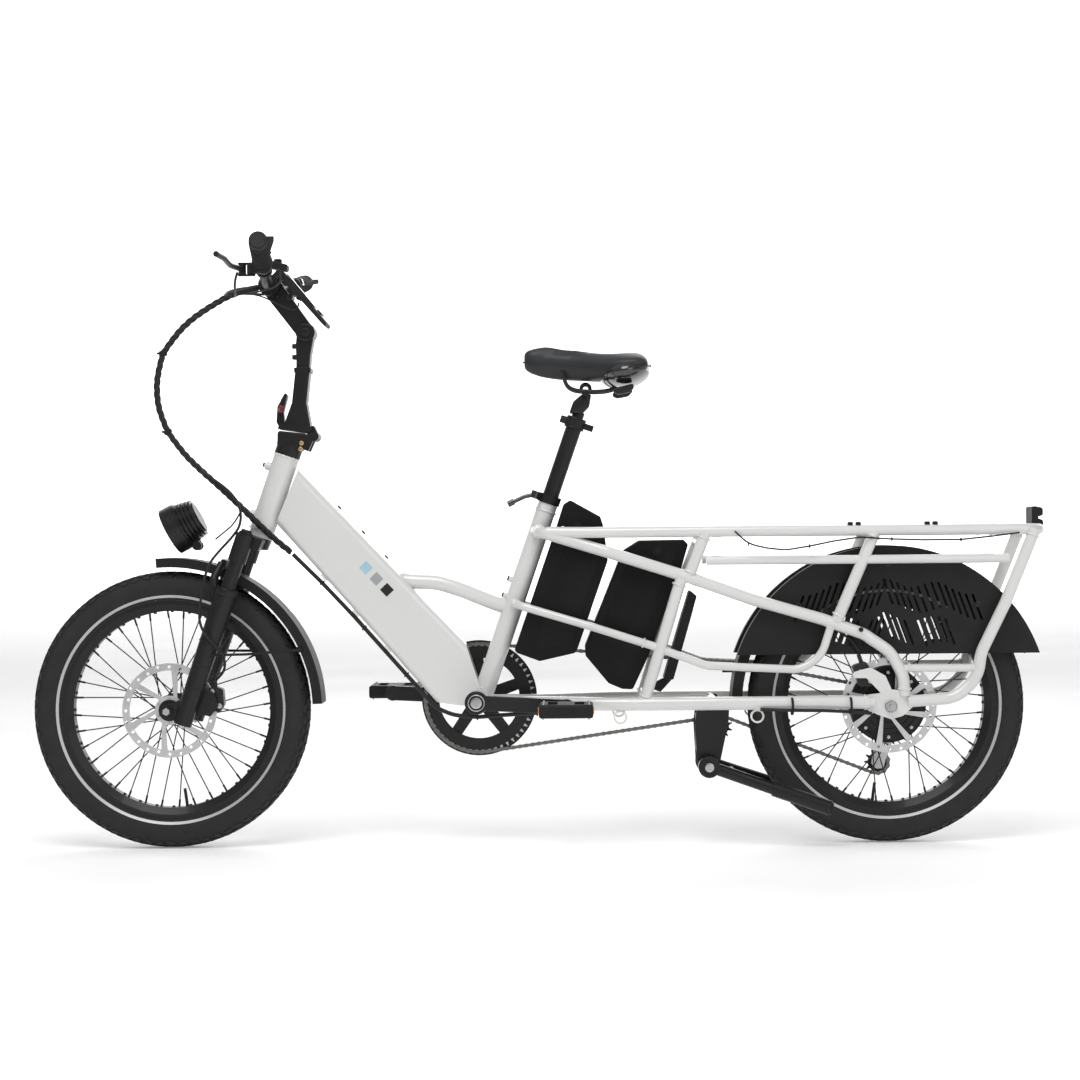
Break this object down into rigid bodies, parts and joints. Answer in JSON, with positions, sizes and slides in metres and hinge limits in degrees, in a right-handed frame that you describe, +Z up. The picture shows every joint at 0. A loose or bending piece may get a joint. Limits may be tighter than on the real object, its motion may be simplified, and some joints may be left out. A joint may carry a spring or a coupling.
{
  "type": "cargo bicycle",
  "caption": "Long-tail electric cargo bicycle with a folding handlebar mast, tubular rear rack, two battery packs and small fat-tyred wheels.",
  "frame": {"origin": "bottom centre of the bounding box, on the ground between the wheels", "axes": "+X towards the rear of the bicycle, +Y towards the drive side, +Z up"},
  "size_m": [1.9355, 0.6922, 1.1348],
  "materials": {
    "frame_paint": "gloss",
    "black_paint": "satin",
    "black_plastic": "matte",
    "battery_case": "satin",
    "steel": "brushed",
    "black_steel": "satin",
    "dark_aluminium": "satin",
    "rubber": "matte",
    "tyre": "matte",
    "saddle_cover": "satin",
    "lamp_glass": "clear",
    "button_grey": "satin"
  },
  "bodies": {
    "frame": {"head_tube": "frame_paint", "down_tube": "frame_paint", "top_tube": "frame_paint", "seat_tube": "frame_paint", "bottom_bracket_shell": "frame_paint", "chainstays": "frame_paint", "dropouts": "frame_paint", "cargo_rails": "frame_paint", "side_tubes": "frame_paint", "frame_fittings": "black_plastic", "rear_fender": "black_plastic", "taillight": "black_plastic", "rear_caliper": "dark_aluminium", "kickstand_bracket": "black_paint", "frame_cables": "rubber", "chain": "steel", "derailleur": "black_paint"},
    "steering": {"fork_crown": "black_paint", "stem_base": "black_paint", "cable_bundle": "rubber"},
    "fork_slider": {"fork_lowers": "black_paint", "front_caliper": "dark_aluminium", "front_fender": "black_plastic"},
    "headlight": {"headlight_housing": "black_paint", "headlight_lens": "lamp_glass"},
    "front_wheel": {"front_tyre": "tyre", "front_rim": "black_paint", "front_spokes": "black_steel", "front_hub": "black_paint", "front_rotor": "steel"},
    "rear_wheel": {"rear_tyre": "tyre", "rear_rim": "black_paint", "rear_spokes": "black_steel", "hub_motor": "black_paint", "rear_rotor": "steel"},
    "cassette": {"cassette": "steel"},
    "crank": {"chainring": "black_paint", "crank_arms": "black_paint"},
    "left_pedal": {"left_pedal": "black_plastic"},
    "right_pedal": {"right_pedal": "black_plastic"},
    "derailleur_cage": {"derailleur_cage": "steel"},
    "jockey_upper": {"jockey_upper": "black_plastic"},
    "jockey_lower": {"jockey_lower": "black_plastic"},
    "chain_idler": {"chain_idler": "black_plastic"},
    "kickstand": {"kickstand_legs": "black_paint"},
    "seat": {"seatpost": "black_paint", "saddle": "saddle_cover"},
    "seat_clamp_lever": {"seat_clamp_lever": "dark_aluminium"},
    "battery_front": {"battery_front": "battery_case"},
    "battery_rear": {"battery_rear": "battery_case"},
    "mast": {"mast": "black_paint"},
    "latch_lever": {"latch_lever": "black_paint"},
    "bars": {"handlebar": "black_paint", "grips": "rubber", "handlebar_controls": "black_plastic"},
    "brake_lever_left": {"brake_lever_left": "dark_aluminium"},
    "brake_lever_right": {"brake_lever_right": "dark_aluminium"},
    "throttle_lever": {"throttle_lever": "black_plastic"},
    "shift_lever": {"shift_lever": "black_plastic"},
    "mode_button": {"mode_button": "button_grey"}
  },
  "joints": [
    {"name": "steering", "type": "hinge", "parent": "frame", "child": "steering", "pos_m": [-0.65165, 0, 0.2475], "axis": [0.3239, 0, 0.9461], "range_deg": [-50, 50], "deforming": ["cable_bundle"]},
    {"name": "fork_travel", "type": "slide", "parent": "steering", "child": "fork_slider", "axis": [0.3239, 0, 0.9461], "range_m": [0, 0.05], "stiffness_N_per_m": 11000, "springref_m": -0.025, "deforming": ["cable_bundle"]},
    {"name": "front_wheel_spin", "type": "hinge", "parent": "fork_slider", "child": "front_wheel", "pos_m": [-0.70275, 0, 0.265], "axis": [0, 1, 0], "continuous": true},
    {"name": "headlight_tilt", "type": "hinge", "parent": "fork_slider", "child": "headlight", "pos_m": [-0.65233, 0, 0.57781], "axis": [0, 1, 0], "range_deg": [-8, 12]},
    {"name": "mast_fold", "type": "hinge", "parent": "steering", "child": "mast", "pos_m": [-0.42575, 0, 0.785], "axis": [0, 1, 0], "range_deg": [0, 88], "deforming": ["cable_bundle"]},
    {"name": "mast_latch", "type": "hinge", "parent": "mast", "child": "latch_lever", "pos_m": [-0.48775, 0, 0.8055], "axis": [0, 1, 0], "range_deg": [-105, 0]},
    {"name": "stem_angle", "type": "hinge", "parent": "mast", "child": "bars", "pos_m": [-0.44075, 0, 0.984], "axis": [0, 1, 0], "range_deg": [-10, 20], "deforming": ["cable_bundle"]},
    {"name": "brake_lever_left", "type": "hinge", "parent": "bars", "child": "brake_lever_left", "pos_m": [-0.53433, -0.19, 1.08487], "axis": [0, 0, 1], "range_deg": [0, 18], "stiffness_Nm_per_rad": 1.5, "springref_deg": -5.73},
    {"name": "brake_lever_right", "type": "hinge", "parent": "bars", "child": "brake_lever_right", "pos_m": [-0.53433, 0.19, 1.08487], "axis": [0, 0, -1], "range_deg": [0, 18], "stiffness_Nm_per_rad": 1.5, "springref_deg": -5.73},
    {"name": "throttle", "type": "hinge", "parent": "bars", "child": "throttle_lever", "pos_m": [-0.49499, -0.206, 1.09466], "axis": [0.0823, -0.9818, 0.171], "range_deg": [0, 25], "stiffness_Nm_per_rad": 0.2, "springref_deg": -5.73},
    {"name": "shift_lever", "type": "hinge", "parent": "bars", "child": "shift_lever", "pos_m": [-0.47575, 0.15, 1.07645], "axis": [0, 1, 0], "range_deg": [0, 14], "stiffness_Nm_per_rad": 0.3, "springref_deg": -5.73},
    {"name": "mode_button", "type": "slide", "parent": "bars", "child": "mode_button", "axis": [0, 0, -1], "range_m": [0, 0.0015], "stiffness_N_per_m": 400, "springref_m": -0.001},
    {"name": "seatpost_slide", "type": "slide", "parent": "frame", "child": "seat", "axis": [0.3294, 0, 0.9442], "range_m": [-0.09, 0.05]},
    {"name": "seat_clamp_lever", "type": "hinge", "parent": "frame", "child": "seat_clamp_lever", "pos_m": [-0.00417, -0.019, 0.67055], "axis": [0.3294, 0, 0.9442], "range_deg": [0, 110]},
    {"name": "battery_front_lift", "type": "slide", "parent": "frame", "child": "battery_front", "axis": [0.3294, 0, 0.9442], "range_m": [0, 0.06]},
    {"name": "battery_rear_lift", "type": "slide", "parent": "frame", "child": "battery_rear", "axis": [0.3294, 0, 0.9442], "range_m": [0, 0.06]},
    {"name": "crank_spin", "type": "hinge", "parent": "frame", "child": "crank", "pos_m": [-0.11675, 0, 0.2775], "axis": [0, 1, 0], "continuous": true},
    {"name": "left_pedal_spin", "type": "hinge", "parent": "crank", "child": "left_pedal", "pos_m": [0.05302, 0, 0.2686], "axis": [0, 1, 0], "continuous": true},
    {"name": "right_pedal_spin", "type": "hinge", "parent": "crank", "child": "right_pedal", "pos_m": [-0.28652, 0, 0.2864], "axis": [0, 1, 0], "continuous": true},
    {"name": "cassette_spin", "type": "hinge", "parent": "frame", "child": "cassette", "pos_m": [0.66425, 0, 0.265], "axis": [0, 1, 0], "continuous": true},
    {"name": "idler_spin", "type": "hinge", "parent": "frame", "child": "chain_idler", "pos_m": [0.35125, 0, 0.218], "axis": [0, 1, 0], "continuous": true},
    {"name": "derailleur_swing", "type": "hinge", "parent": "frame", "child": "derailleur_cage", "pos_m": [0.67225, 0, 0.2], "axis": [0, 1, 0], "range_deg": [-12, 8], "stiffness_Nm_per_rad": 4, "springref_deg": 2.86, "deforming": ["chain"]},
    {"name": "jockey_upper_spin", "type": "hinge", "parent": "derailleur_cage", "child": "jockey_upper", "pos_m": [0.67225, 0, 0.2], "axis": [0, 1, 0], "continuous": true},
    {"name": "jockey_lower_spin", "type": "hinge", "parent": "derailleur_cage", "child": "jockey_lower", "pos_m": [0.65425, 0, 0.147], "axis": [0, 1, 0], "continuous": true},
    {"name": "rear_wheel_spin", "type": "hinge", "parent": "frame", "child": "rear_wheel", "pos_m": [0.66425, 0, 0.265], "axis": [0, 1, 0], "continuous": true},
    {"name": "kickstand_swing", "type": "hinge", "parent": "frame", "child": "kickstand", "pos_m": [0.32225, 0, 0.151], "axis": [0, 1, 0], "range_deg": [0, 105]}
  ],
  "couplings": [
    {"joint": "cassette_spin", "follows": "crank_spin", "ratio": 4.7273},
    {"joint": "idler_spin", "follows": "crank_spin", "ratio": -5.2},
    {"joint": "jockey_upper_spin", "follows": "crank_spin", "ratio": -4.7273},
    {"joint": "jockey_lower_spin", "follows": "crank_spin", "ratio": 4.7273}
  ]
}
